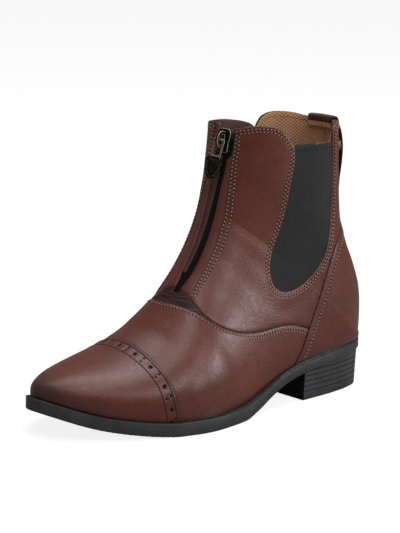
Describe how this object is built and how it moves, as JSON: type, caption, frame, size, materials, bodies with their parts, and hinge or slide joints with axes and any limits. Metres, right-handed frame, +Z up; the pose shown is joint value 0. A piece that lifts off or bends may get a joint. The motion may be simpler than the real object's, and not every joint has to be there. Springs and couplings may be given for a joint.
{
  "type": "paddock boot",
  "caption": "Ankle-high leather riding boot with a front zip, elastic side gores, a perforated toe cap and a low stacked heel.",
  "frame": {"origin": "on the floor under the middle of the boot's bounding box", "axes": "+Z up; the toe points toward -Y; the boot's outer side faces +X, so it is a left boot"},
  "size_m": [0.1018, 0.28, 0.1921],
  "materials": {
    "leather": "reddish brown, satin, fine grain",
    "rubber": "black, matt",
    "lining": "tan cloth cover",
    "elastic": "charcoal, ribbed",
    "zip_cloth": "black tape and coil",
    "aged_brass": "dark antique with worn bright edges"
  },
  "bodies": {
    "boot": {"outsole": "rubber", "heel_block": "rubber", "insole": "lining", "upper": "leather", "toe_cap": "leather", "heel_counter": "leather", "gore_outer": "elastic", "gore_inner": "elastic", "zip_tape": "zip_cloth", "zip_guard": "leather", "zip_slider": "aged_brass", "back_tab": "leather", "tab_snap": "aged_brass"},
    "pull": {"zip_pull": "aged_brass"}
  },
  "joints": [
    {"name": "pull_swing", "type": "hinge", "parent": "boot", "child": "pull", "pos_m": [0.00166, 0.00544, 0.18265], "axis": [-1, 0, 0], "range_deg": [0, 170]}
  ]
}
